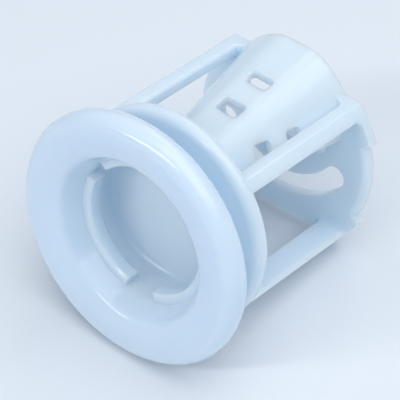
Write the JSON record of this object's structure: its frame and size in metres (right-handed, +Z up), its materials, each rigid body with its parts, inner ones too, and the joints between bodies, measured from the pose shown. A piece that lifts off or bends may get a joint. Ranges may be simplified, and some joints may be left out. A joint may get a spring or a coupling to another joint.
{
  "type": "washer pump filter",
  "caption": "Round filter body with a cupped bayonet mouth, a thick front lip and seal groove, and an open cage that holds a tapered, perforated chute.",
  "frame": {"origin": "on the body's axis, in the plane of the front lip's back face, where the bayonet tabs' inner wall begins", "axes": "+Y along the body's axis from the front mouth to the end plate, +X to the right as seen from the front, +Z up, towards the crown of the chute"},
  "size_m": [0.06, 0.056, 0.06],
  "materials": {
    "polypropylene": "moulded natural polypropylene, milky white, slightly translucent, semi-gloss"
  },
  "bodies": {
    "root": {"filter_body": "polypropylene"}
  },
  "joints": []
}
